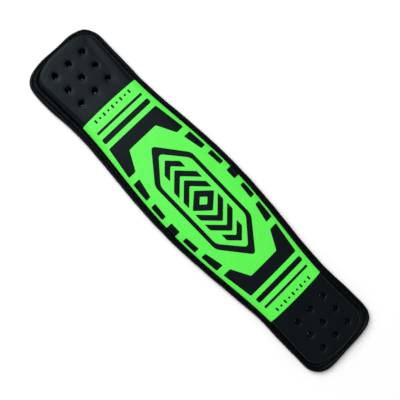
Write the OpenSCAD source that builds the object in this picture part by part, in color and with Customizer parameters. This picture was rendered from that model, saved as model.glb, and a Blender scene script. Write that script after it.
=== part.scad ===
// Padded footstrap for a board, laid flat with its printed face up.
// The frame: +X runs along the strap, +Y across it and +Z up through its layers, with the origin under its
// centre on the face that it lies on. Millimetres.

/* [Strap outline] */
// Overall length
strap_length = 295; // [293:1:310]
// Overall width across the middle
middle_width = 71.4; // [71:0.2:74]
// Overall width at the waist, where the bulge of the middle ends
waist_width = 59.4; // [59.2:0.2:62]
// Distance from the centre to the waist
bulge_reach = 96; // [92:1:100]
// How much wider than the waist each side is at the strap's end
end_flare = 1.3; // [1:0.1:1.6]
// Length of each rounded end corner
corner_length = 18; // [17:0.5:19]

/* [Raised panel] */
// Width of the panel across the middle
panel_middle = 62.4; // [60:0.2:62.6]
// Width of the panel at the waist
panel_waist = 49.4; // [49:0.2:49.6]
// Distance from the panel's end to the strap's end
panel_end_gap = 4.5; // [4.2:0.1:4.8]
// Angle of the panel and its print against the strap, as sewn
panel_turn = -0.6; // [-0.6:0.1:0.6]
// How far along the strap the panel lies off its centre, as sewn
panel_shift = -0.8; // [-0.8:0.1:0.8]
// Height of the panel's crown above the underside
crown_height = 9.5; // [9:0.1:11]
// Radius of the crown across the strap
crown_radius = 300; // [250:10:500]

/* [Screw holes] */
// Distance from the strap's centre to the middle of each grid of holes
grid_centre = 119; // [118:0.5:119.5]
// Distance between neighbouring holes
hole_pitch = 12.7; // [12:0.1:13]
// Radius of every hole
hole_radius = 2.6; // [2:0.05:2.8]

/* [Layers] */
// Thickness of the coated fabric skin
skin_t = 0.8; // [0.6:0.1:1]
// Thickness of the knit-faced neoprene lining
lining_t = 1.5; // [1.2:0.1:2]
// Thickness of the comfort foam
comfort_t = 1.8; // [1.5:0.1:2.2]
// Thickness of the plates and of the stiffener
plate_t = 1.2; // [1:0.1:1.4]
// Thickness of the webbing
webbing_t = 1.5; // [1.2:0.1:1.7]
// Width of the webbing
webbing_width = 40; // [36:1:41]
// Thickness of the binding tape
binding_t = 0.7; // [0.5:0.05:0.8]
// Thickness of the printed film
film_t = 0.25; // [0.15:0.05:0.4]

/* [Seam] */
// Distance from one stitch to the next
stitch_pitch = 4.2; // [4:0.1:6]
// Length of one stitch
stitch_length = 3.2; // [2.5:0.1:3.4]
// Radius of the thread
thread_radius = 0.22; // [0.15:0.01:0.24]

/* [Hidden] */

panel_corner = 14;              // length of the panel's rounded corner
side_steps = 22;                // points along a quarter of a side
corner_steps = 12;              // points round a corner
outer_power = 3.2;              // squareness of the outer corners
panel_power = 2.6;              // squareness of the panel's corners

lining_top = lining_t;
plate_bottom = lining_top + comfort_t;
webbing_bottom = plate_bottom + plate_t;
flange_bottom = plate_bottom;
flange_top = flange_bottom + skin_t;
rim_height = flange_top + binding_t;

bottom_leaf = 5;                // width of the binding's lower leaf
leaf_gap = 0.3;                 // between the binding's upper leaf and the panel's wall
seam_inset = 2.1;               // from the strap's edge to the outside of the seam's groove
groove_width = 0.9;
groove_depth = 0.45;

plate_length = 39;
plate_corner = 5;
stiffener_length = 184;
stiffener_width = 36;
stiffener_corner = 8;
webbing_length = strap_length - 17;
webbing_corner = 6;

green = [0.35, 0.95, 0.3];
charcoal = [0.14, 0.16, 0.18];
black = [0.06, 0.06, 0.07];
overlap = 1;                    // how far a cutter runs past the face that it cuts
crown_fn = 720;
bore_fn = 48;

// ---- outlines -------------------------------------------------------------------------------------------

// Half the width of a side at x, before the corner is rounded.
function side_half(x, waist, middle) =
    waist / 2
    + (middle - waist) / 2 * pow(max(0, 1 - pow(x / bulge_reach, 2)), 2)
    + end_flare * max(0, (x - bulge_reach) / (strap_length / 2 - bulge_reach));

// The quarter of an outline from the middle of the side to the middle of the end.
function quarter(half_length, waist, middle, corner, power) =
    let (start = half_length - corner)
    concat(
        [for (i = [0 : side_steps - 1])
            let (x = start * i / side_steps) [x, side_half(x, waist, middle)]],
        [for (i = [0 : corner_steps])
            let (angle = 90 * i / corner_steps,
                 x = start + corner * pow(sin(angle), 2 / power))
            [x, side_half(x, waist, middle) * pow(cos(angle), 2 / power)]]);

function reversed(points) = [for (i = [len(points) - 1 : -1 : 0]) points[i]];
function without_last(points) = [for (i = [0 : len(points) - 2]) points[i]];
function flipped(points, sx, sy) = [for (p = points) [p[0] * sx, p[1] * sy]];

// A whole outline from its quarter: clockwise, from the middle of the +Y side.
function all_round(q) = concat(
    without_last(q),
    without_last(reversed(flipped(q, 1, -1))),
    without_last(flipped(q, -1, -1)),
    without_last(reversed(flipped(q, -1, 1))));

function outer_outline(inset = 0) = all_round(quarter(
    strap_length / 2 - inset, waist_width - 2 * inset, middle_width - 2 * inset,
    corner_length - 0.6 * inset, outer_power));

// Points turned and moved along the strap in the way that the panel is.
function as_sewn(points) = [
    for (p = points)
        [p[0] * cos(panel_turn) - p[1] * sin(panel_turn) + panel_shift,
         p[0] * sin(panel_turn) + p[1] * cos(panel_turn)]];

function panel_outline(inset = 0) = as_sewn(all_round(quarter(
    strap_length / 2 - panel_end_gap - inset, panel_waist - 2 * inset, panel_middle - 2 * inset,
    panel_corner - 0.4 * inset, panel_power)));

module slab(points, bottom, top) {
    translate([0, 0, bottom])
        linear_extrude(top - bottom)
            polygon(points);
}

// A rectangle with round corners, centred on the origin.
module rounded_plate(length, width, corner, bottom, top) {
    translate([0, 0, bottom])
        linear_extrude(top - bottom)
            rounded_rectangle(length, width, corner);
}

module rounded_rectangle(length, width, corner) {
    union() {
        square([length - 2 * corner, width], center = true);
        square([length, width - 2 * corner], center = true);
        for (sx = [-1, 1], sy = [-1, 1])
            translate([sx * (length / 2 - corner), sy * (width / 2 - corner)])
                circle(r = corner, $fn = bore_fn);
    }
}

// Everything under the panel's crown, or under a surface that lies below or above it by rise.
module under_crown(rise = 0) {
    translate([0, 0, crown_height - crown_radius])
        rotate([0, 90, 0])
            cylinder(h = strap_length + 2 * overlap, r = crown_radius + rise, center = true, $fn = crown_fn);
}

// The three by three grid of screw holes at one end. side is -1 or 1.
module hole_grid(side) {
    for (column = [-1 : 1], row = [-1 : 1])
        translate([side * grid_centre + column * hole_pitch, row * hole_pitch, -overlap])
            cylinder(h = crown_height + 2 * overlap, r = hole_radius, $fn = bore_fn);
}

module hole_grids() {
    hole_grid(-1);
    hole_grid(1);
}

// ---- soft layers ----------------------------------------------------------------------------------------

// Knit-faced neoprene under the strap, pressed thinner where the binding laps under its edge.
module lining() {
    color(black)
        difference() {
            union() {
                slab(outer_outline(binding_t), binding_t, lining_top);
                slab(outer_outline(bottom_leaf), 0, lining_top);
            }
            hole_grids();
        }
}

module comfort_foam() {
    color("dimgray")
        difference() {
            slab(outer_outline(binding_t), lining_top, plate_bottom);
            hole_grids();
        }
}

// Moulded foam that fills the skin, with a channel below for the webbing, plates and stiffener.
module top_foam() {
    color("gray")
        difference() {
            intersection() {
                slab(panel_outline(skin_t), plate_bottom, crown_height);
                under_crown(-skin_t);
            }
            webbing_blank();
            plate_blank(-1);
            plate_blank(1);
            stiffener_blank();
            hole_grids();
        }
}

// ---- what carries the load ------------------------------------------------------------------------------

module webbing_blank() {
    rounded_plate(webbing_length, webbing_width, webbing_corner, webbing_bottom, webbing_bottom + webbing_t);
}

module load_webbing() {
    color("darkslategray")
        difference() {
            webbing_blank();
            hole_grids();
        }
}

module plate_blank(side) {
    translate([side * grid_centre, 0, 0])
        rounded_plate(plate_length, webbing_width, plate_corner, plate_bottom, webbing_bottom);
}

// Perforated plate that spreads the screws' load into one end.
module end_plate(side) {
    color("dimgray")
        difference() {
            plate_blank(side);
            hole_grid(side);
        }
}

module stiffener_blank() {
    rounded_plate(stiffener_length, stiffener_width, stiffener_corner, plate_bottom, webbing_bottom);
}

// Springy sheet that keeps the strap arched when it is screwed down.
module arch_stiffener() {
    color("whitesmoke")
        stiffener_blank();
}

// ---- skin and binding -----------------------------------------------------------------------------------

// Coated fabric moulded over the foam, with a flange that is sewn into the rim.
module top_skin() {
    color(charcoal)
        difference() {
            union() {
                slab(outer_outline(binding_t), flange_bottom, flange_top);
                intersection() {
                    slab(panel_outline(), flange_bottom, crown_height);
                    under_crown();
                }
            }
            intersection() {
                slab(panel_outline(skin_t), flange_bottom - overlap, crown_height);
                under_crown(-skin_t);
            }
            hole_grids();
        }
}

// The ring-shaped groove that a row of stitches lies in.
module seam_groove(bottom, top) {
    difference() {
        slab(outer_outline(seam_inset), bottom, top);
        slab(outer_outline(seam_inset + groove_width), bottom - overlap, top + overlap);
    }
}

// Tape folded round the rim: an outer wall with a leaf over the flange and one under the lining.
module edge_binding() {
    color(black)
        difference() {
            slab(outer_outline(), 0, rim_height);
            slab(outer_outline(binding_t), binding_t, flange_top);
            slab(outer_outline(bottom_leaf), -overlap, flange_top);
            slab(panel_outline(-leaf_gap), binding_t, rim_height + overlap);
            seam_groove(rim_height - groove_depth, rim_height + overlap);
            seam_groove(-overlap, groove_depth);
        }
}

function distance(a, b) = norm(b - a);

// The distance along a path up to each of its points.
function lengths_along(path) = [
    for (i = 0, total = 0;
         i < len(path);
         total = total + (i + 1 < len(path) ? distance(path[i], path[i + 1]) : 0), i = i + 1)
    total];

// The stretch of the path that holds the point at a distance along it.
function stretch_at(along, at) = len([for (reach = along) if (reach <= at) reach]) - 1;

// One row of stitches round the rim, at a height.
module stitch_row(height) {
    loop = outer_outline(seam_inset + groove_width / 2);
    path = concat(loop, [loop[0]]);
    along = lengths_along(path);
    total = along[len(along) - 1];
    count = floor(total / stitch_pitch);
    for (i = [0 : count - 1]) {
        at = (i + 0.5) * total / count;
        k = stretch_at(along, at);
        share = (at - along[k]) / (along[k + 1] - along[k]);
        step = path[k + 1] - path[k];
        place = path[k] + share * step;
        translate([place[0], place[1], height])
            rotate([0, 90, atan2(step[1], step[0])])
                cylinder(h = stitch_length, r = thread_radius, center = true, $fn = 16);
    }
}

module binding_seam() {
    color("black") {
        stitch_row(rim_height - thread_radius);
        stitch_row(thread_radius);
    }
}

// ---- printed film ---------------------------------------------------------------------------------------
// The film is one colour. The skin shows through its openings, which make the dark pattern.

field_end = 93.9;               // from the centre to the film's end
field_bow = 0.6;                // how far the film's end edge bows outward
field_steps = 24;               // points along half of the film's side
end_steps = 6;                  // points along half of its end
field_margin = 0.15;            // from the film's side to the panel's edge
bar_centre = [83, 76.2];        // the thin and the thick bar
bar_width = [1.9, 4];
bar_length = [42, 43.6];
bar_round = 0.3;                // the bars' corner radius as a share of their width
bracket_outer = 70.4;
bracket_inner = 60.4;
bracket_tip = 46.7;
bracket_shoulder = 12.5;        // half the height of the bracket's inner edge
bracket_tip_inner = 19.8;       // half the gap between the bracket's tips
bracket_margin = 3.5;           // film left between the bracket's outer corner and the side
bracket_tip_margin = 2;
dash_ends = [[10.1, 21.7], [27.1, 41.4]];
dash_depths = [[3.5, 4.1], [4.1, 6.1]];     // at the end near the centre and at the far end
dash_margins = [0.8, 1.3];      // film left between each dash and the side
notch_half = 4.2;
notch_depth = 4.2;
tick_centre = 90;
tick_count = 9;
tick_pitch = 3.9;
tick_width = 1.4;
tick_length = [2.8, 1.6];       // of the even and of the odd ticks
tick_round = 0.4;
corner_round = 0.9;             // corner radius of the openings

function field_half(x) = side_half(x, panel_waist, panel_middle) - field_margin;

// Points along the film's side from x = a to x = b, moved in by a margin that changes evenly.
function along_side(a, b, margin_a, margin_b, steps) = [
    for (i = [0 : steps])
        let (share = i / steps, x = a + (b - a) * share)
        [x, field_half(x) - margin_a - (margin_b - margin_a) * share]];

// The whole film without its openings.
function field_outline() =
    let (corner_x = field_end - field_bow,
         side = along_side(0, corner_x, 0, 0, field_steps),
         end_edge = [for (i = [1 : end_steps])
             let (share = 1 - i / end_steps)
             [field_end - field_bow * share * share, field_half(corner_x) * share]])
    all_round(concat(side, end_edge));

// A straight-sided outline with each corner cut to a small round.
function rounded(points, radius) = [
    for (i = [0 : len(points) - 1])
        let (count = len(points), here = points[i],
             to_last = points[(i + count - 1) % count] - here, to_next = points[(i + 1) % count] - here,
             cut = min(radius, 0.45 * norm(to_last), 0.45 * norm(to_next)),
             start = here + to_last / norm(to_last) * cut, end = here + to_next / norm(to_next) * cut)
        for (t = [0, 0.25, 0.5, 0.75, 1])
            start * (1 - t) * (1 - t) + here * 2 * t * (1 - t) + end * t * t];

// A shape and its mirror image at the other end of the strap.
module both_ends() {
    for (end = [0, 1])
        mirror([end, 0]) children();
}

// A shape and its mirror image at the other side of the strap.
module both_sides() {
    for (side = [0, 1])
        mirror([0, side]) children();
}

module bars() {
    both_ends()
        for (i = [0, 1])
            translate([bar_centre[i], 0])
                rounded_rectangle(bar_width[i], bar_length[i], bar_width[i] * bar_round);
}

// The heavy bracket that closes one end of the middle field.
module bracket() {
    upper = [[bracket_inner, bracket_shoulder],
             [bracket_tip, bracket_tip_inner],
             [bracket_tip, field_half(bracket_tip) - bracket_tip_margin],
             [bracket_outer, field_half(bracket_outer) - bracket_margin]];
    polygon(rounded(concat(upper, reversed(flipped(upper, 1, -1))), corner_round));
}

module dash(i) {
    from = dash_ends[i][0];
    to = dash_ends[i][1];
    margin = dash_margins[i];
    outer = along_side(from, to, margin, margin, 2);
    inner = along_side(to, from, margin + dash_depths[i][1], margin + dash_depths[i][0], 1);
    polygon(rounded(concat(outer, inner), corner_round));
}

// The notch in the middle of one side, open to the rim.
module notch() {
    edge = field_half(0);
    polygon(rounded([[-notch_half, edge - notch_depth], [notch_half, edge - notch_depth],
                     [notch_half, edge + 2 * overlap], [-notch_half, edge + 2 * overlap]], corner_round));
}

module tick_row() {
    for (i = [0 : tick_count - 1])
        translate([tick_centre, (i - (tick_count - 1) / 2) * tick_pitch])
            rounded_rectangle(tick_length[i % 2], tick_width, tick_round);
}

// ---- emblem: a plain hexagon ring round a diamond between chevrons --------------------------------------

ring_outside = [52, 17.6, 30];  // half the length, half the height and half of each straight side
ring_inside = [44.6, 14.6, 27.5];
ring_round = 3;
diamond_half = [9.5, 10.4];
gem_half = [3.6, 3.9];          // the green diamond inside the dark one
gem_round = 0.6;
chevron_tips = [19.5, 29, 38.5];
chevron_reach = [11, 11, 7.5];  // half the height of each chevron
chevron_stroke = 5.6;
chevron_slope = 1;              // how far a chevron leans back per unit of its height

// A hexagon that points along X.
function hexagon(size) =
    let (tip = size[0], height = size[1], shoulder = size[2])
    [[tip, 0], [shoulder, height], [-shoulder, height], [-tip, 0], [-shoulder, -height], [shoulder, -height]];

function diamond(half) = [[half[0], 0], [0, half[1]], [-half[0], 0], [0, -half[1]]];

module chevron(i) {
    tip = chevron_tips[i];
    reach = chevron_reach[i];
    back = tip - reach * chevron_slope;
    outer = [[back, -reach], [tip, 0], [back, reach]];
    inner = [for (p = outer) [p[0] - chevron_stroke, p[1]]];
    polygon(rounded(concat(outer, reversed(inner)), corner_round));
}

module field_shape() {
    difference() {
        polygon(field_outline());
        bars();
        both_ends() {
            bracket();
            tick_row();
            both_sides()
                for (i = [0, 1]) dash(i);
        }
        both_sides() notch();
        polygon(rounded(hexagon(ring_outside), ring_round));
    }
}

module emblem_shape() {
    difference() {
        polygon(rounded(hexagon(ring_inside), ring_round));
        polygon(rounded(diamond(diamond_half), corner_round));
        both_ends()
            for (i = [0 : len(chevron_tips) - 1]) chevron(i);
    }
    polygon(rounded(diamond(gem_half), gem_round));
}

// A shape cut from the film that lies on the crown, turned with the panel.
module film() {
    color(green)
        difference() {
            intersection() {
                translate([0, 0, flange_top])
                    linear_extrude(crown_height + film_t - flange_top)
                        rotate(panel_turn)
                            children();
                under_crown(film_t);
            }
            under_crown();
        }
}

module print_field() {
    film() field_shape();
}

module print_emblem() {
    film() emblem_shape();
}

lining();
comfort_foam();
end_plate(-1);  // end_plate_left
end_plate(1);  // end_plate_right
arch_stiffener();
load_webbing();
top_foam();
top_skin();
edge_binding();
binding_seam();
print_field();
print_emblem();
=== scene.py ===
"""The looks of a padded board footstrap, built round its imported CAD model.

The outlines, the holes, the print and the stitches are read from the CAD nodes' meshes. Flat shapes are
worked out in millimetres, and build() turns them into metres. A "loop" is an N x 2 array of points that
goes once round a shape, and the last point joins the first.
"""

import math

import bmesh
import bpy
import numpy as np
from mathutils import Matrix, Vector, geometry, noise
from mathutils.bvhtree import BVHTree


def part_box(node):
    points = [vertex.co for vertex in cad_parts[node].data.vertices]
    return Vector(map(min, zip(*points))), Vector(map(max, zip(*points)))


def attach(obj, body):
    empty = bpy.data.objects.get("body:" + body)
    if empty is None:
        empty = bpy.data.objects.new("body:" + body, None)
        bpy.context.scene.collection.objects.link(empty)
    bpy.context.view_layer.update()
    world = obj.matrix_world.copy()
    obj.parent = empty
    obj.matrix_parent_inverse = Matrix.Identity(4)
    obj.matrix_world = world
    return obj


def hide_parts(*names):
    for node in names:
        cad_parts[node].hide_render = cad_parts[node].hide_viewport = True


MM = 0.001
WELD = 1e-6                     # metres; joins the corners that the CAD mesh has more than once
SHARP = 55                      # degrees between faces from which an edge is shaded sharp

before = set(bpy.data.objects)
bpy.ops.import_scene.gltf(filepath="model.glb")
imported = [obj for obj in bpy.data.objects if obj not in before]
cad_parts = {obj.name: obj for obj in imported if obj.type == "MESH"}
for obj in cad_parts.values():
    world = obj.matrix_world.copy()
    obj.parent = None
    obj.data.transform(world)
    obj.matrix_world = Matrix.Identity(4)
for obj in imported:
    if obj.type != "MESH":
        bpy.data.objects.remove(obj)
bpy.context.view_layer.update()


# ---- flat shapes ------------------------------------------------------------------------------------------


def facing_loops(node, way, low, high):
    """Loops round a CAD node's faces that look up (way 1) or down (-1) between two heights, longest first."""
    bm = bmesh.new()
    bm.from_mesh(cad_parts[node].data)
    bmesh.ops.remove_doubles(bm, verts=bm.verts, dist=WELD)
    # A dict keeps the faces' order, so every run starts each loop at the same corner. A set doesn't.
    chosen = {
        f: True for f in bm.faces
        if f.normal.z * way > 0.5 and low <= f.calc_center_median().z / MM <= high
    }
    after = {}
    for face in chosen:
        for corner in face.loops:
            if sum(f in chosen for f in corner.edge.link_faces) == 1:
                after[corner.vert] = corner.link_loop_next.vert
    loops = []
    while after:
        start, vert = after.popitem()
        chain = [start]
        while vert is not start:
            chain.append(vert)
            vert = after.pop(vert)
        loops.append(np.array([(v.co.x, v.co.y) for v in chain]) / MM)
    bm.free()
    return sorted(loops, key=perimeter, reverse=True)


def edges_of(loop):
    return np.roll(loop, -1, axis=0) - loop


def perimeter(loop):
    return np.hypot(*edges_of(loop).T).sum()


def turning(loop):
    """Twice the area of a loop, negative where it runs clockwise."""
    return (loop[:, 0] * np.roll(loop[:, 1], -1) - loop[:, 1] * np.roll(loop[:, 0], -1)).sum()


def smooth_loop(loop, spacing):
    """A loop on a smooth curve through the given one's points, with even steps."""
    before, here = np.roll(loop, 1, axis=0), loop
    after, last = np.roll(loop, -1, axis=0), np.roll(loop, -2, axis=0)
    curve = []
    for t in np.arange(0, 1, 0.1):
        curve.append(
            0.5 * (2 * here + (after - before) * t
                   + (2 * before - 5 * here + 4 * after - last) * t ** 2
                   + (3 * here - before - 3 * after + last) * t ** 3)
        )
    dense = np.stack(curve, axis=1).reshape(-1, 2)
    return evenly(dense, spacing)


def evenly(loop, spacing):
    closed = np.vstack([loop, loop[:1]])
    along = np.concatenate([[0], np.cumsum(np.hypot(*np.diff(closed, axis=0).T))])
    count = int(round(along[-1] / spacing))
    at = np.arange(count) * along[-1] / count
    return np.stack([np.interp(at, along, closed[:, k]) for k in (0, 1)], axis=1)


def cut_long_edges(loop, longest):
    """The same loop with points added on its long edges, so its corners stay."""
    points = []
    for start, edge in zip(loop, edges_of(loop)):
        steps = max(1, math.ceil(np.hypot(*edge) / longest))
        points += [start + edge * i / steps for i in range(steps)]
    return np.array(points)


def inward(loop):
    """Unit normals that point to the inside of a loop."""
    ahead = np.roll(loop, -1, axis=0) - np.roll(loop, 1, axis=0)
    ahead /= np.hypot(*ahead.T)[:, None]
    return np.stack([-ahead[:, 1], ahead[:, 0]], axis=1) * np.sign(turning(loop))


def nearest_on(points, loop):
    """For each point, the nearest point of a loop and the distance to it."""
    edge = edges_of(loop)
    length2 = (edge ** 2).sum(1)
    found, away = np.empty_like(points), np.empty(len(points))
    for i in range(0, len(points), 1000):
        rel = points[i:i + 1000, None] - loop
        t = np.clip((rel * edge).sum(2) / length2, 0, 1)
        gap = np.hypot(*np.moveaxis(rel - t[..., None] * edge, 2, 0))
        best = gap.argmin(1)
        row = np.arange(len(best))
        found[i:i + 1000] = loop[best] + t[row, best, None] * edge[best]
        away[i:i + 1000] = gap[row, best]
    return found, away


def inside(points, loop):
    """True where a point is inside a loop."""
    crossed = np.zeros(len(points), bool)
    x, y = points.T
    for (x0, y0), (x1, y1) in zip(loop, np.roll(loop, -1, axis=0)):
        if y0 != y1:
            crossed ^= ((y0 > y) != (y1 > y)) & (x < x0 + (y - y0) * (x1 - x0) / (y1 - y0))
    return crossed


def depth_in(points, loop):
    """Distance from each point to a loop, negative outside it."""
    return np.where(inside(points, loop), 1, -1) * nearest_on(points, loop)[1]


def circle(centre, radius, count):
    turn = np.arange(count) * 2 * math.pi / count
    return centre + radius * np.stack([np.cos(turn), np.sin(turn)], axis=1)


def grid_in(loops, outline, spacing):
    """Staggered points inside an outline that keep clear of every loop."""
    low, high = outline.min(0), outline.max(0)
    rows = np.arange(low[1], high[1], spacing * math.sqrt(3) / 2)
    points = np.array([
        (x, y)
        for j, y in enumerate(rows)
        for x in np.arange(low[0] + spacing / 2 * (j % 2), high[0], spacing)
    ])
    points = points[inside(points, outline)]
    for loop in loops:
        near = (points > loop.min(0) - spacing).all(1) & (points < loop.max(0) + spacing).all(1)
        close = np.zeros(len(points), bool)
        if near.any():
            close[near] = nearest_on(points[near], loop)[1] < 0.6 * spacing
        points = points[~close]
    return points


def triangulate(loops, extra):
    """Points and triangles of the flat area under some loops, with an edge along each loop."""
    corners, edges = [], []
    for loop in loops:
        first, count = len(corners), len(loop)
        corners += [Vector(p) for p in loop]
        edges += [(first + i, first + (i + 1) % count) for i in range(count)]
    corners += [Vector(p) for p in extra]
    made = geometry.delaunay_2d_cdt(corners, edges, [], 0, 1e-5, False)
    return np.array([tuple(p) for p in made[0]]), np.array([tuple(f) for f in made[2]])


def ramp(value, low, high):
    """Smooth step from 0 at low to 1 at high."""
    t = np.clip((value - low) / (high - low), 0, 1)
    return t * t * (3 - 2 * t)


def wobble(points, size, seed):
    """Smooth noise from -1 to 1 at each point, with features of a size in mm."""
    return np.array([noise.noise(Vector((p[0] / size, p[1] / size, seed))) for p in points])


# ---- what the CAD says ------------------------------------------------------------------------------------

LOOP_STEP = 1.6                 # mm between points along the strap's outlines
PRINT_STEP = 1.5                # and at most between points along the print's
SKIN_THICKNESS = 0.8
CROWN_FOOT = 0.5                # faces that look up are part of the crown from this far above the tape
SAME_HEIGHT = 0.1

skin_low, skin_high = (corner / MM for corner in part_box("top_skin"))
binding_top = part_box("edge_binding")[1].z / MM
lining_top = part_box("lining")[1].z / MM
bed_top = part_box("comfort_foam")[1].z / MM
webbing_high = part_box("load_webbing")[1] / MM
film_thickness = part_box("print_field")[1].z / MM - skin_high.z

flange_loops = facing_loops("top_skin", 1, skin_low.z, binding_top)
flange_top = skin_low.z + SKIN_THICKNESS
tape_loops = facing_loops("edge_binding", 1, binding_top - SAME_HEIGHT, binding_top + SAME_HEIGHT)
strap_outline = smooth_loop(tape_loops[0], LOOP_STEP)
panel_outline = smooth_loop(flange_loops[1], LOOP_STEP)
crown_loops = facing_loops("top_skin", 1, binding_top + CROWN_FOOT, skin_high.z)
hole_centres = [loop.mean(0) for loop in crown_loops[1:]]
screw_radius = float(np.mean([np.hypot(*(loop - loop.mean(0)).T).mean() for loop in crown_loops[1:]]))
field_loops, emblem_loops = (
    [cut_long_edges(loop, PRINT_STEP) for loop in facing_loops(node, 1, skin_low.z, math.inf)]
    for node in ("print_field", "print_emblem")
)


# ---- meshes -----------------------------------------------------------------------------------------------


def build(name, points, faces, material):
    """A piece that rides on the body, from points in mm. It is smooth but for its sharp edges."""
    mesh = bpy.data.meshes.new(name)
    mesh.from_pydata((np.asarray(points, float) * MM).tolist(), [], [tuple(map(int, f)) for f in faces])
    mesh.validate()
    mesh.shade_smooth()
    mesh.set_sharp_from_angle(angle=math.radians(SHARP))
    mesh.materials.append(material)
    piece = bpy.data.objects.new(name, mesh)
    bpy.context.scene.collection.objects.link(piece)
    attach(piece, "root")
    return piece


def rim_edges(triangles):
    """The edges, in their triangles' direction, that only one triangle has."""
    edges = {}
    for t in triangles:
        for a, b in ((t[0], t[1]), (t[1], t[2]), (t[2], t[0])):
            if (b, a) in edges:
                del edges[(b, a)]
            else:
                edges[(a, b)] = True
    return list(edges)


def shell(top, bottom, triangles):
    """Points and faces of a closed solid between two surfaces that share their triangles."""
    used = np.unique(triangles)
    place = np.full(len(top), -1)
    place[used] = np.arange(len(used))
    triangles = place[triangles]
    count = len(used)
    faces = [tuple(t) for t in triangles] + [(t[2] + count, t[1] + count, t[0] + count) for t in triangles]
    faces += [(b, a, a + count, b + count) for a, b in rim_edges([tuple(t) for t in triangles])]
    return np.vstack([top[used], bottom[used]]), faces


def surface_normals(points, triangles):
    """Unit normals at the points of a surface."""
    a, b, c = (points[triangles[:, k]] for k in range(3))
    flat = np.cross(b - a, c - a)
    normals = np.zeros_like(points)
    for k in range(3):
        np.add.at(normals, triangles[:, k], flat)
    length = np.linalg.norm(normals, axis=1)[:, None]
    return np.where(length > 0, normals / np.maximum(length, 1e-12), (0, 0, 1))


def upward(points, triangles):
    """The triangles turned so that they all face up, without the ones that have no area."""
    a, b, c = (points[triangles[:, k]] for k in range(3))
    area = (b[:, 0] - a[:, 0]) * (c[:, 1] - a[:, 1]) - (b[:, 1] - a[:, 1]) * (c[:, 0] - a[:, 0])
    triangles = np.where((area > 0)[:, None], triangles, triangles[:, ::-1])
    return triangles[np.abs(area) > 1e-6]


def centres_of(points, triangles):
    return points[triangles].mean(1)


# ---- shape of the padded skin -----------------------------------------------------------------------------

SHOULDER = 1.8                  # width of the rounded edge of the panel
SQUARENESS = 2.8                # of that edge's curve, which is an ellipse at 2
DIP = 0.16                      # depth of the round dip that a screw's washer leaves about a hole
DIP_START = 2.6                 # distances from a hole's centre between which the dip rises to its edge
DIP_END = 4.6
LIP = 0.9                       # width of the rolled lip round a hole
LIP_DROP = 0.6
DRAWN_IN = 0.6                  # how much smaller the stretchy skin's holes are than the screws' holes
UNEVEN = 0.75                   # how far the skin's holes are drawn out of round
CUFF = 3.2                      # length of the skin that lines the top of each hole
FAR_ACROSS = 20                 # distance from the middle line where the crown's fall is enough to measure
LEAST_RADIUS = 200              # a point that is lower than a crown of this radius is on the panel's edge
FOOT_SINK = 0.05                # how far below the flange's top the panel's edge starts
DRAWN_START = 0.3               # distance from a hole's edge where it starts to be less out of round

foot = flange_top - FOOT_SINK
hole_radius = screw_radius - DRAWN_IN
crown_top = skin_high.z


def crown(points):
    """Height of the CAD crown."""
    return crown_top - points[:, 1] ** 2 / (2 * crown_radius)


def measured_crown_radius():
    """Radius across the strap, from the heights of the CAD crown."""
    heights = np.array([(v.co.y / MM, v.co.z / MM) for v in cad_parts["top_skin"].data.vertices])
    rim = heights[(heights[:, 1] > binding_top + CROWN_FOOT) & (np.abs(heights[:, 0]) > FAR_ACROSS)]
    high = rim[rim[:, 1] > crown_top - rim[:, 0] ** 2 / (2 * LEAST_RADIUS)]
    return float(np.median(high[:, 0] ** 2 / 2 / (crown_top - high[:, 1])))


crown_radius = measured_crown_radius()


def hole_distance(points):
    """Distance to the nearest hole's centre."""
    return np.min([np.hypot(*(points - c).T) for c in hole_centres], axis=0)


def skin_height(points):
    """Height of the skin's outside over flat points, before it is blown up."""
    depth = depth_in(points, panel_outline)
    bulge = (1 - (1 - np.clip(depth / SHOULDER, 0, 1)) ** SQUARENESS) ** (1 / SQUARENESS)
    height = foot + (crown(points) - foot) * bulge
    away = hole_distance(points)
    height -= DIP * (1 - ramp(away, DIP_START, DIP_END))
    roll = np.clip((hole_radius + LIP - away) / LIP, 0, 1)
    return height - LIP_DROP * (1 - np.sqrt(1 - roll ** 2))


def drawn(points):
    """Sideways shift of flat points round the holes, which takes the holes out of round."""
    near = 1 - ramp(hole_distance(points), hole_radius + DRAWN_START, DIP_END)
    return UNEVEN * near[:, None] * np.column_stack([wobble(points, 2.7, 11.0), wobble(points, 2.7, 17.0)])


def lifted(points, heights):
    return np.column_stack([points, heights])


# ---- blowing up the skin ----------------------------------------------------------------------------------

CLOTH_STEP = 2.6
CLOTH_CAP = 0.5                 # mm that a point may move
CLOTH_FRAMES = 20
PRESSURE = 4
RIM_POINTS = 12                 # round each hole
COLLAR_POINTS = 14
COLLAR = 1.8                    # distance of the second ring of points from the hole
CLOTH_RINGS = (1.2, 2.9)        # insets of the rings of points along the panel's edge
IN_HOLE = 0.98                  # share of a hole's radius within which a triangle's middle is in the hole
ON_EDGE = 0.1                   # how near to an edge a point is on it


def cloth_sheet():
    """The coarse skin that is blown up: its flat points, its triangles and which points are held."""
    edge = evenly(panel_outline, CLOTH_STEP)
    rims = [circle(c, hole_radius, RIM_POINTS) for c in hole_centres]
    collars = [circle(c, hole_radius + COLLAR, COLLAR_POINTS) for c in hole_centres]
    rings = [edge] + [edge + inward(edge) * depth for depth in CLOTH_RINGS]
    loops = rings + rims + collars
    flat, triangles = triangulate(loops, grid_in(loops, edge, CLOTH_STEP))
    middle = centres_of(flat, triangles)
    keep = inside(middle, edge) & (hole_distance(middle) > hole_radius * IN_HOLE)
    triangles = upward(flat, triangles[keep])
    held = (nearest_on(flat, edge)[1] < ON_EDGE) | (hole_distance(flat) < hole_radius + ON_EDGE)
    return flat, triangles, held


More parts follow.
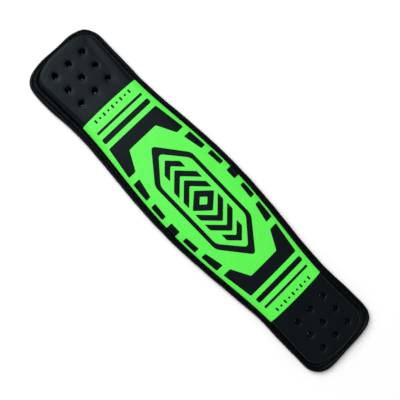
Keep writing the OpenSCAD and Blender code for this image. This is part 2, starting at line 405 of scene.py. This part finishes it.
def blown_up(flat, triangles, held):
    """How far a short cloth simulation under pressure moves each point of the sheet, in mm."""
    start = lifted(flat, skin_height(flat))
    mesh = bpy.data.meshes.new("cloth_trial")
    mesh.from_pydata((start * MM).tolist(), [], triangles.tolist())
    sheet = bpy.data.objects.new("cloth_trial", mesh)
    bpy.context.scene.collection.objects.link(sheet)
    pinned = sheet.vertex_groups.new(name="held")
    pinned.add([int(i) for i in np.flatnonzero(held)], 1.0, "REPLACE")
    cloth = sheet.modifiers.new("cloth", "CLOTH")
    cloth.settings.quality = 6
    cloth.settings.mass = 0.3
    cloth.settings.tension_stiffness = cloth.settings.compression_stiffness = 15
    cloth.settings.bending_stiffness = 0.5
    cloth.settings.use_pressure = True
    cloth.settings.uniform_pressure_force = PRESSURE
    cloth.settings.vertex_group_mass = "held"
    cloth.settings.effector_weights.gravity = 0
    cloth.collision_settings.use_collision = False
    cloth.point_cache.frame_end = CLOTH_FRAMES
    scene = bpy.context.scene
    for step in range(1, CLOTH_FRAMES + 1):
        scene.frame_set(step)
    shown = sheet.evaluated_get(bpy.context.evaluated_depsgraph_get())
    moved = np.array([v.co for v in shown.data.vertices]) / MM - start
    bpy.data.objects.remove(sheet)
    scene.frame_set(1)
    length = np.linalg.norm(moved, axis=1)[:, None]
    return moved * CLOTH_CAP * np.tanh(length / CLOTH_CAP) / np.maximum(length, 1e-9)


class Puff:
    """Carries the blown-up sheet's movement to any flat point."""

    def __init__(self):
        self.flat, self.triangles, held = cloth_sheet()
        self.moved = blown_up(self.flat, self.triangles, held)
        corners = [Vector((p[0], p[1], 0)) for p in self.flat]
        self.tree = BVHTree.FromPolygons(corners, self.triangles.tolist())

    def at(self, points):
        found = np.zeros((len(points), 3))
        for i, p in enumerate(points):
            place, _, index, _ = self.tree.find_nearest(Vector((p[0], p[1], 0)))
            corners = self.triangles[index]
            shares = geometry.barycentric_transform(
                place, *(Vector((*self.flat[c], 0)) for c in corners),
                Vector((1, 0, 0)), Vector((0, 1, 0)), Vector((0, 0, 1)))
            found[i] = np.array(shares) @ self.moved[corners]
        return found


# ---- materials --------------------------------------------------------------------------------------------


class Shader:
    """A Principled material with a few helpers for its procedural inputs. Sizes are in mm."""

    def __init__(self, name, colour, roughness, specular=0.5, sheen=0.0, tint=(1, 1, 1)):
        self.material = bpy.data.materials.new(name)
        self.material.use_nodes = True
        self.tree = self.material.node_tree
        self.main = self.tree.nodes["Principled BSDF"]
        self.main.inputs["Base Color"].default_value = (*colour, 1)
        self.main.inputs["Roughness"].default_value = roughness
        self.main.inputs["Specular IOR Level"].default_value = specular
        self.main.inputs["Specular Tint"].default_value = (*tint, 1)
        self.main.inputs["Sheen Weight"].default_value = sheen
        self.main.inputs["Sheen Roughness"].default_value = 0.4
        self.place = self.node("ShaderNodeTexCoord").outputs["Object"]
        self.colour, self.roughness, self.relief = colour, roughness, None

    def node(self, kind, **settings):
        made = self.tree.nodes.new(kind)
        for key, value in settings.items():
            setattr(made, key, value)
        return made

    def feed(self, node, **inputs):
        """Sets or links a node's inputs. A name's underscore stands for a space, and a number for a place."""
        for key, value in inputs.items():
            socket = node.inputs[int(key[1:])] if key[1:].isdigit() else node.inputs[key.replace("_", " ")]
            if isinstance(value, bpy.types.NodeSocket):
                self.tree.links.new(value, socket)
            else:
                socket.default_value = value
        return node

    def math(self, operation, a, b=0.0, c=0.0):
        return self.feed(self.node("ShaderNodeMath", operation=operation), _0=a, _1=b, _2=c).outputs[0]

    def noise(self, size, detail=3.0, stretch=None):
        spot = self.scaled(stretch) if stretch else self.place
        made = self.feed(self.node("ShaderNodeTexNoise"), Vector=spot, Scale=1 / (size * MM), Detail=detail)
        return made.outputs["Fac"]

    def cells(self, size, feature="F1", stretch=None):
        spot = self.scaled(stretch) if stretch else self.place
        made = self.node("ShaderNodeTexVoronoi", feature=feature)
        return self.feed(made, Vector=spot, Scale=1 / (size * MM)).outputs["Distance"]

    def scaled(self, stretch):
        return self.feed(self.node("ShaderNodeMapping"), Vector=self.place, Scale=stretch).outputs[0]

    def axes(self, source=None):
        made = self.feed(self.node("ShaderNodeSeparateXYZ"), Vector=source or self.place)
        return made.outputs[0], made.outputs[1], made.outputs[2]

    def span(self, value, low, high):
        """Maps 0..1 onto low..high."""
        made = self.feed(self.node("ShaderNodeMapRange"), Value=value, To_Min=low, To_Max=high)
        return made.outputs[0]

    def raise_by(self, height, depth, strength=1.0):
        """Adds a bump of a depth in mm."""
        made = self.feed(self.node("ShaderNodeBump"), Height=height, Distance=depth * MM, Strength=strength)
        if self.relief:
            self.feed(made, Normal=self.relief)
        self.relief = made.outputs[0]
        self.feed(self.main, Normal=self.relief)

    def vary(self, value, darkest, palest):
        """Tints the colour between two shares of itself."""
        made = self.node("ShaderNodeMix", data_type="RGBA")
        ends = [(*(min(1, c * share) for c in self.colour), 1) for share in (darkest, palest)]
        self.feed(made, _0=value, _6=ends[0], _7=ends[1])
        self.feed(self.main, Base_Color=made.outputs[2])

    def mottle(self, value, spread):
        self.feed(self.main, Roughness=self.span(value, self.roughness - spread, self.roughness + spread))

    def knit(self, column, course, source=None):
        """Height of a plain knit: columns of small V stitches."""
        x, y, _ = self.axes(source)
        across = self.math("DIVIDE", x, column * MM)
        fold = self.math("ABSOLUTE", self.math("SUBTRACT", self.math("FRACT", across), 0.5))
        along = self.math("ADD", self.math("DIVIDE", y, course * MM), self.math("MULTIPLY", fold, 1.6))
        loops = self.math("SINE", self.math("MULTIPLY", along, 2 * math.pi))
        rib = self.math("SINE", self.math("MULTIPLY", fold, 2 * math.pi))
        return self.math("MULTIPLY_ADD", loops, 0.35, self.math("MULTIPLY", rib, 0.6))

    def weave(self, pitch):
        """Height of a plain weave along X and Y."""
        x, y, _ = self.axes()
        u = self.math("SINE", self.math("MULTIPLY", x, math.pi / (pitch * MM)))
        v = self.math("SINE", self.math("MULTIPLY", y, math.pi / (pitch * MM)))
        return self.math("MULTIPLY", u, v)


def skin_material():
    s = Shader("coated_fabric_mat", (0.0019, 0.0033, 0.0048), 0.35, specular=0.11, tint=(0.75, 0.95, 1))
    s.raise_by(s.noise(9, 2), 0.10, 0.5)
    s.raise_by(s.cells(0.55, "SMOOTH_F1"), 0.05, 0.5)
    s.raise_by(s.noise(0.25, 2), 0.02, 0.4)
    s.mottle(s.noise(14, 4), 0.09)
    s.vary(s.noise(20, 3), 0.75, 1.3)
    return s.material


def film_material():
    s = Shader("printed_film_mat", (0.078, 0.82, 0.058), 0.4, specular=0.52)
    s.raise_by(s.noise(9, 2), 0.08, 0.4)
    s.raise_by(s.cells(0.55, "SMOOTH_F1"), 0.03, 0.4)
    s.mottle(s.noise(11, 4), 0.08)
    s.vary(s.noise(6, 5), 0.94, 1.04)
    return s.material


def binding_material():
    s = Shader("binding_tape_mat", (0.0003, 0.0007, 0.0013), 0.33, specular=0.09, tint=(0.8, 0.95, 1))
    strip = s.node("ShaderNodeUVMap", uv_map="strip").outputs[0]
    s.raise_by(s.knit(1.15, 0.9, source=strip), 0.14, 0.32)
    s.raise_by(s.noise(0.3, 3), 0.05, 0.5)
    s.vary(s.noise(5, 4), 0.7, 1.5)
    s.mottle(s.noise(3, 3), 0.08)
    return s.material


def thread_material():
    s = Shader("thread_mat", (0.0014, 0.0022, 0.0032), 0.5, specular=0.14, tint=(0.8, 0.95, 1))
    s.raise_by(s.noise(0.12, 3), 0.03, 0.6)
    s.vary(s.noise(2, 2), 0.7, 1.3)
    return s.material


def lining_material():
    s = Shader("knit_neoprene_mat", (0.02, 0.0208, 0.0225), 0.85, specular=0.25, sheen=0.2)
    knit = s.knit(1.0, 0.8)
    s.raise_by(knit, 0.18, 0.8)
    s.raise_by(s.noise(0.3, 3), 0.05, 0.5)
    s.vary(knit, 0.6, 1.5)
    return s.material


def foam_material():
    s = Shader("foam_mat", (0.013, 0.0136, 0.0145), 0.95, specular=0.15)
    s.raise_by(s.cells(0.5), 0.2, 0.8)
    s.raise_by(s.noise(2.5, 4), 0.2, 0.4)
    s.vary(s.cells(0.5), 0.6, 1.4)
    return s.material


def plate_material():
    s = Shader("nylon_plate_mat", (0.011, 0.011, 0.012), 0.5, specular=0.4)
    s.raise_by(s.noise(0.35, 4), 0.04, 0.6)
    s.mottle(s.noise(6, 3), 0.08)
    s.vary(s.noise(9, 4), 0.8, 1.3)
    return s.material


def stiffener_material():
    s = Shader("spring_sheet_mat", (0.62, 0.61, 0.55), 0.38, specular=0.5)
    s.raise_by(s.noise(1.2, 4, stretch=(0.1, 1, 1)), 0.03, 0.6)
    s.mottle(s.noise(5, 4, stretch=(0.2, 1, 1)), 0.07)
    s.vary(s.noise(12, 4, stretch=(0.3, 1, 1)), 0.9, 1.05)
    return s.material


def webbing_material():
    s = Shader("webbing_mat", (0.014, 0.015, 0.016), 0.8, specular=0.25, sheen=0.15)
    s.raise_by(s.weave(1.3), 0.25, 0.8)
    s.raise_by(s.noise(0.2, 3, stretch=(0.2, 1, 1)), 0.04, 0.6)
    s.vary(s.weave(1.3), 0.7, 1.3)
    return s.material


def floor_material():
    s = Shader("floor_mat", (0.93, 0.93, 0.93), 0.9, specular=0.0)
    s.vary(s.noise(60, 3), 0.995, 1.0)
    return s.material


# ---- skin and print ---------------------------------------------------------------------------------------

EDGE_RINGS = (0.12, 0.35, 0.75, 1.3, 2.0, 2.8, 3.8, 5.0)
HOLE_RINGS = (0.0, 0.12, 0.3, 0.55, 0.9, 1.5, 2.3, 3.3)
HOLE_SIDES = 32
UNDER_TAPE = 1.6                # how far the skin's flange runs out under the binding
SKIN_STEP = 1.7
FLANGE_EDGE = 0.5               # thickness of the skin's edge under the binding
UNDULATION = 0.07               # height of the long, low waves in the skin
FILM_SINK = 0.05                # how far the film's underside lies within the skin
IN_FINE_HOLE = 0.995            # the same two limits as for the cloth, for the cover's finer mesh
ON_FINE_EDGE = 0.05

puff = Puff()


def skin_points(flat):
    """The skin's outside over flat points."""
    surface = lifted(flat, skin_height(flat))
    within = inside(flat, panel_outline)
    surface[within] += puff.at(flat[within])
    surface[:, 2] += UNDULATION * wobble(flat, 17, 3.0) * ramp(depth_in(flat, panel_outline), 0.5, 5)
    surface[:, :2] += drawn(flat)
    return surface


def cover_mesh():
    """Flat points and triangles of the whole cover, with an edge along every outline on it."""
    flange_edge = panel_outline - inward(panel_outline) * UNDER_TAPE
    rings = [panel_outline + inward(panel_outline) * depth for depth in EDGE_RINGS]
    collars = [circle(c, hole_radius + out, HOLE_SIDES) for c in hole_centres for out in HOLE_RINGS]
    prints = field_loops + emblem_loops
    loops = [flange_edge, panel_outline] + rings + collars
    extra = grid_in(loops + prints, panel_outline, SKIN_STEP)
    flat, triangles = triangulate(loops + prints, extra)
    middle = centres_of(flat, triangles)
    keep = inside(middle, flange_edge) & (hole_distance(middle) > hole_radius * IN_FINE_HOLE)
    return flat, upward(flat, triangles[keep])


def printed(middle, loops):
    """True where a point is under the film: inside the outer loop and in an even number of loops after it."""
    under = np.zeros(len(middle), bool)
    for loop in loops:
        under ^= inside(middle, loop)
    return under


def make_cover():
    flat, triangles = cover_mesh()
    middle = centres_of(flat, triangles)
    outside = skin_points(flat)
    normals = surface_normals(outside, triangles)
    under = outside - normals * SKIN_THICKNESS
    at_hole = hole_distance(flat) < hole_radius + ON_FINE_EDGE
    under[at_hole] = outside[at_hole] - (0, 0, CUFF)
    at_edge = depth_in(flat, panel_outline) < ON_FINE_EDGE
    under[at_edge] = outside[at_edge] - (0, 0, FLANGE_EDGE)
    cover = build("cover_skin", *shell(outside, under, triangles), skin_material())
    film = film_material()
    made = [cover]
    for name, loops in (("printed_field", field_loops), ("printed_emblem", emblem_loops)):
        chosen = triangles[printed(middle, loops)]
        above, below = outside + normals * film_thickness, outside - normals * FILM_SINK
        made.append(build(name, *shell(above, below, chosen), film))
    return made


# ---- rim ------------------------------------------------------------------------------------------------

TAPE_STEP = 1.0
WAVE = 0.22                     # how far the tape's edge wanders each way
SEAM_HALF = 0.5                 # half the width of the seam's groove
# Where the tape is drawn in, or bulges out if the depth is negative: x, y, reach and depth.
SEWN = [
    (-147, 3, 7, 0.5), (-139, 29, 5, 0.8), (-121, -31, 14, -1.1), (-106, 30, 12, -0.35),
    (-50, 33, 50, -0.5), (146, -19, 7, -1.0), (148, 1, 4, 0.3), (145, 24, 6, -0.5),
    (120, 30, 12, -0.5), (108, -30, 10, -0.5),
]
# The tape's section from its edge beside the panel to the seam: share of that width, and height.
LEAF = [(1.0, 4.12), (0.95, 4.22), (0.8, 4.44), (0.6, 4.68), (0.4, 4.84), (0.2, 4.92), (0.0, 4.84)]
# Across the seam's groove: distance outward from the stitches, and height above or below.
GROOVE = [(-0.3, 4.52), (0.0, 4.4), (0.3, 4.52), (SEAM_HALF, 4.84)]
# Round the strap's edge and back to the seam under the strap: inset and height.
NOSE = [(1.6, 4.98), (1.15, 4.95), (0.7, 4.72), (0.35, 4.25), (0.1, 3.5), (0.0, 2.6), (0.06, 1.7),
        (0.28, 0.8), (0.7, 0.22), (1.15, 0.0), (1.6, 0.0)]
UNDER_GROOVE = [(SEAM_HALF, 0.02), (0.3, 0.3), (0.0, 0.4), (-0.3, 0.3), (-SEAM_HALF, 0.02)]
# The lower leaf, and the inside of the tape back to its edge beside the panel.
LOWER_LEAF = [(4.2, 0.0), (4.8, 0.1), (5.0, 0.4), (4.85, 0.68), (3.9, 0.74), (2.2, 0.8), (1.1, 1.1),
              (0.75, 2.0), (0.78, 3.0), (1.2, 3.9), (2.0, 4.06)]


GAP = 0.05                      # least width of the open groove between the tape and the panel
WIDE_GAP = 0.3                  # what a wide rim adds to it
SWELL = 0.12                    # how much the tape's height wanders
LEAST_LEAF = 0.12               # width that the upper leaf keeps inside the seam


def tape_gap(width):
    """Open groove between the tape and the panel: wider where the rim is wide, at the corners."""
    return GAP + WIDE_GAP * ramp(width, 5.0, 7.5)


def sewn_in(points):
    """How far the tape is drawn in at points of the strap's edge."""
    return sum(depth * np.exp(-(((points - (x, y)) / reach) ** 2).sum(1)) for x, y, reach, depth in SEWN)


def make_binding(seam):
    """The tape round the rim. seam is the inset of the stitches."""
    edge = evenly(strap_outline, TAPE_STEP)
    feet, width = nearest_on(edge, panel_outline)
    across = (feet - edge) / width[:, None]
    sway = WAVE * wobble(edge, 9, 5.0) + sewn_in(edge)
    swell = SWELL * wobble(edge, 6, 8.0)
    inner = seam + SEAM_HALF
    room = np.maximum(width - tape_gap(width) - inner, LEAST_LEAF)
    section = [(inner + share * room, height) for share, height in LEAF]
    section += [(seam - out, height) for out, height in GROOVE]
    section += NOSE
    section += [(seam - out, height) for out, height in UNDER_GROOVE]
    section += LOWER_LEAF
    rings = []
    for inset, height in section:
        near_edge = np.maximum(0, 1 - inset / seam)
        spot = edge + across * (inset + near_edge * sway)[:, None]
        rings.append(lifted(spot, height + swell * min(1, height / 4)))
    count, sides = len(edge), len(rings)
    points = np.stack(rings, axis=1).reshape(-1, 3)
    faces = []
    for i in range(count):
        for j in range(sides):
            a, b = i * sides, (i + 1) % count * sides
            faces.append((a + j, b + j, b + (j + 1) % sides, a + (j + 1) % sides))
    if turning(edge) > 0:
        faces = [f[::-1] for f in faces]
    piece = build("rim_binding", points, faces, binding_material())
    lay_strip(piece, edge, rings)
    return piece


def lay_strip(piece, edge, rings):
    """A UV layer in metres for the tape's knit: along the tape, and across it from the seam."""
    along = np.concatenate([[0], np.cumsum(np.hypot(*edges_of(edge).T))]) * MM
    steps = np.linalg.norm(np.diff(np.array(rings + rings[:1]), axis=0), axis=2)
    across = np.vstack([np.zeros(len(edge)), np.cumsum(steps, axis=0)]) * MM
    across -= across[len(LEAF) + 1]
    count, sides = len(edge), len(rings)
    layer = piece.data.uv_layers.new(name="strip")
    for face in piece.data.polygons:
        i, j = divmod(face.index, sides)
        for k in face.loop_indices:
            row, column = divmod(piece.data.loops[k].vertex_index, sides)
            column = sides if column == 0 and j == sides - 1 else column
            ahead = count if row == 0 and i == count - 1 else row
            layer.data[k].uv = (along[ahead], across[column, row])


THREAD = 0.24
STITCH_SIDES = 8
STITCH_RISE = (-0.34, -0.12, 0.02, 0.06, 0.02, -0.12, -0.34)


def stitch_lines():
    """Centre, direction and length of each CAD stitch, in mm."""
    bm = bmesh.new()
    bm.from_mesh(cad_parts["binding_seam"].data)
    bmesh.ops.remove_doubles(bm, verts=bm.verts, dist=WELD)
    seen, lines = set(), []
    for vert in bm.verts:
        if vert in seen:
            continue
        island, queue = [], [vert]
        seen.add(vert)
        while queue:
            v = queue.pop()
            island.append(v.co[:])
            for e in v.link_edges:
                other = e.other_vert(v)
                if other not in seen:
                    seen.add(other)
                    queue.append(other)
        points = np.array(island) / MM
        centre = (points.min(0) + points.max(0)) / 2
        flat = points[:, :2] - centre[:2]
        _, turns = np.linalg.eigh(flat.T @ flat)
        ahead = np.array([*turns[:, 1], 0])
        lines.append((centre, ahead, np.ptp(flat @ turns[:, 1])))
    bm.free()
    return lines


def make_stitches(lines):
    points, faces = [], []
    for centre, ahead, length in lines:
        side = np.array([-ahead[1], ahead[0], 0])
        way = 1 if centre[2] > 1 else -1
        first = len(points)
        ends = len(STITCH_RISE) - 1
        for k, rise in enumerate(STITCH_RISE):
            spot = centre + ahead * length * (k / ends - 0.5) + np.array([0, 0, way * rise])
            radius = THREAD * (0.8 if k in (0, ends) else 1)
            for s in range(STITCH_SIDES):
                turn = s * 2 * math.pi / STITCH_SIDES
                points.append(spot + radius * (math.cos(turn) * side + math.sin(turn) * np.array([0, 0, 1])))
        for k in range(ends):
            for s in range(STITCH_SIDES):
                a, b = first + k * STITCH_SIDES, first + (k + 1) * STITCH_SIDES
                t = (s + 1) % STITCH_SIDES
                faces.append((a + s, a + t, b + t, b + s))
        faces.append(tuple(first + s for s in reversed(range(STITCH_SIDES))))
        faces.append(tuple(first + ends * STITCH_SIDES + s for s in range(STITCH_SIDES)))
    return build("rim_stitches", points, faces, thread_material())


# ---- soft layers under the skin ---------------------------------------------------------------------------

LAYER_STEP = 3.0
LAYER_RINGS = (0.25, 0.7, 1.4)
LAYER_GAP = 0.02                # between layers that lie on each other
LAYER_HOLE_SIDES = 24
LAYER_HOLE_RINGS = (0.0, 0.2, 0.55, 1.2)


def layer_mesh(outline, rings, hole):
    """Flat points and triangles of a layer with round holes of a radius."""
    circles = [circle(c, hole + out, LAYER_HOLE_SIDES) for c in hole_centres for out in LAYER_HOLE_RINGS]
    loops = [outline] + [outline + inward(outline) * r for r in rings] + circles
    flat, triangles = triangulate(loops, grid_in(loops, outline, LAYER_STEP))
    middle = centres_of(flat, triangles)
    keep = inside(middle, outline) & (hole_distance(middle) > hole * IN_HOLE)
    return flat, upward(flat, triangles[keep])


def rounding(distance, radius):
    """How much a face has fallen at a distance from its edge, for an edge with a radius."""
    t = np.clip(1 - distance / radius, 0, 1)
    return radius * (1 - np.sqrt(1 - t * t))


LINING_HOLE = 0.9               # much less than the screws' holes, so that the floor doesn't shine through
LINING_EDGE = 0.95
LEAF_EDGE = 5.05                # inset of the lower leaf's edge
LEAF_THICKNESS = 0.76
LEAF_SLOPE = 0.5                # width over which the lining comes down beside that leaf
LINING_RINGS = (0.5, 3.9, 4.15, 4.4, 4.8, 5.4, 6.2)
LINING_ROUND = 0.6              # radius of the lining's edge at a hole
LINING_WAVE = 0.04


def make_lining():
    outline = strap_outline + inward(strap_outline) * LINING_EDGE
    flat, triangles = layer_mesh(outline, LINING_RINGS, LINING_HOLE)
    inset = depth_in(flat, strap_outline)
    hole = hole_distance(flat) - LINING_HOLE
    below = LEAF_THICKNESS * (1 - ramp(inset, LEAF_EDGE, LEAF_EDGE + LEAF_SLOPE))
    below += rounding(hole, LINING_ROUND)
    below += LINING_WAVE * (1 + wobble(flat, 8, 1.0)) * ramp(inset, 6, 9)
    above = np.full(len(flat), lining_top - LAYER_GAP)
    solid = shell(lifted(flat, above), lifted(flat, below), triangles)
    return build("knit_lining", *solid, lining_material())


BED_HOLE = 1.8                  # also less than the screws' holes
BED_INSET = 1.3
BED_ROUND = 0.5
BED_GAP = 0.03                  # between the bed and what lies on it


def make_bed(foam):
    outline = strap_outline + inward(strap_outline) * BED_INSET
    flat, triangles = layer_mesh(outline, LAYER_RINGS, BED_HOLE)
    hole = hole_distance(flat) - BED_HOLE
    edge = depth_in(flat, outline)
    slump = rounding(hole, BED_ROUND) + rounding(edge, BED_ROUND)
    above = bed_top - BED_GAP - slump
    below = lining_top + slump
    return build("foam_bed", *shell(lifted(flat, above), lifted(flat, below), triangles), foam)


CORE_HOLE = 2.5
CORE_GAP = 0.15                 # between the skin's underside and the foam
CORE_INSET = 0.3                # between the skin's sides and the foam
CORE_RINGS = (0.3, 0.7, 1.4, 2.4, 3.8)
CORE_DROP = 1.6                 # how far the foam is below the skin's outside round a hole
THINNEST_FOAM = 0.12
CHANNEL = 20.3                  # half the width of the channel over the webbing
CHANNEL_END = 0.4               # length of the channel beyond the webbing's end
CHANNEL_GAP = 0.05              # between the webbing and the channel's roof


def make_core(foam):
    outline = panel_outline + inward(panel_outline) * (SKIN_THICKNESS + CORE_INSET)
    flat, triangles = layer_mesh(outline, CORE_RINGS, CORE_HOLE)
    outside = skin_points(flat)
    normals = surface_normals(outside, triangles)
    above = outside - normals * (SKIN_THICKNESS + CORE_GAP)
    near_hole = hole_distance(flat) < hole_radius + 1
    above[near_hole, 2] = outside[near_hole, 2] - CORE_DROP
    in_channel = (np.abs(flat[:, 1]) < CHANNEL) & (np.abs(flat[:, 0]) < webbing_high.x + CHANNEL_END)
    below = lifted(flat, np.where(in_channel, webbing_high.z + CHANNEL_GAP, bed_top + LAYER_GAP))
    above[:, 2] = np.maximum(above[:, 2], below[:, 2] + THINNEST_FOAM)
    below[:, :2] = above[:, :2]
    return build("foam_core", *shell(above, below, triangles), foam)


# ---- putting it together ----------------------------------------------------------------------------------


def place_pieces():
    foam = foam_material()
    cover, field, emblem = make_cover()
    lines = stitch_lines()
    seam = np.median(depth_in(np.array([centre[:2] for centre, _, _ in lines]), strap_outline))
    binding, stitches = make_binding(seam), make_stitches(lines)
    lining, bed, core = make_lining(), make_bed(foam), make_core(foam)
    for piece, node, slot in (
        (cover, "top_skin", "coated_fabric"),
        (field, "print_field", "printed_film"),
        (emblem, "print_emblem", "printed_film"),
        (binding, "edge_binding", "binding_tape"),
        (stitches, "binding_seam", "thread"),
        (lining, "lining", "knit_neoprene"),
        (bed, "comfort_foam", "foam"),
        (core, "top_foam", "foam"),
    ):
        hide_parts(node)


def finish_cad_nodes():
    plates = plate_material()
    finishes = {
        "end_plate_left": plates,
        "end_plate_right": plates,
        "arch_stiffener": stiffener_material(),
        "load_webbing": webbing_material(),
    }
    for node, finish in finishes.items():
        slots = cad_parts[node].material_slots
        for slot in slots:
            slot.material = finish


# ---- floor, light and camera ------------------------------------------------------------------------------

FLOOR_SIZE = 6.0                # metres
FLOOR_GAP = 0.0002
WORLD = 0.36
LIGHT_AWAY = 3.0                # distance of both lights from the strap's centre
LIGHT_SIZE = 2.0
# Radiance, degrees from the zenith, and degrees from +X towards +Y.
KEY = (6.3, 40, 189)
OVERHEAD = (1.6, 20, 165)


def make_floor():
    mesh = bpy.data.meshes.new("floor")
    half = FLOOR_SIZE / 2
    corners = [(-half, -half, 0), (half, -half, 0), (half, half, 0), (-half, half, 0)]
    mesh.from_pydata(corners, [], [(0, 1, 2, 3)])
    mesh.materials.append(floor_material())
    floor = bpy.data.objects.new("floor", mesh)
    floor.location.z = -FLOOR_GAP
    bpy.context.scene.collection.objects.link(floor)


def softbox(name, radiance, from_zenith, azimuth):
    """A square light that faces the strap."""
    light = bpy.data.lights.new(name, "AREA")
    light.shape, light.size, light.energy = "SQUARE", LIGHT_SIZE, radiance * math.pi * LIGHT_SIZE ** 2
    lamp = bpy.data.objects.new(name, light)
    away, turn = math.radians(from_zenith), math.radians(azimuth)
    aim = Vector((math.sin(away) * math.cos(turn), math.sin(away) * math.sin(turn), math.cos(away)))
    lamp.location = aim * LIGHT_AWAY
    lamp.rotation_mode = "QUATERNION"
    lamp.rotation_quaternion = (-aim).to_track_quat("-Z", "Y")
    bpy.context.scene.collection.objects.link(lamp)


def make_light():
    world = bpy.data.worlds.new("studio")
    world.use_nodes = True
    background = world.node_tree.nodes["Background"]
    background.inputs["Color"].default_value = (1, 1, 1, 1)
    background.inputs["Strength"].default_value = WORLD
    bpy.context.scene.world = world
    softbox("key", *KEY)
    softbox("overhead", *OVERHEAD)


LENS = 67.8
FILM_WIDTH = 36
CAMERA_PLACE = (-0.0018, 0.00075, 0.526)    # in metres, before the turns
CAMERA_TURNS = (("X", 7.2), ("Y", -2.4), ("Z", 45.4))
TURNED_ABOUT = (0, 0, 0.005)


def make_camera():
    """Nearly straight above, turned so that the strap runs from the upper left to the lower right."""
    data = bpy.data.cameras.new("camera")
    data.sensor_width = FILM_WIDTH
    data.lens = LENS
    camera = bpy.data.objects.new("camera", data)
    place = Matrix.Translation(TURNED_ABOUT)
    for axis, degrees in CAMERA_TURNS:
        place = place @ Matrix.Rotation(math.radians(degrees), 4, axis)
    camera.matrix_world = place @ Matrix.Translation(CAMERA_PLACE)
    bpy.context.scene.collection.objects.link(camera)
    bpy.context.scene.camera = camera
    bpy.context.scene.view_settings.view_transform = "Standard"


make_camera()
make_light()
make_floor()
place_pieces()
finish_cad_nodes()
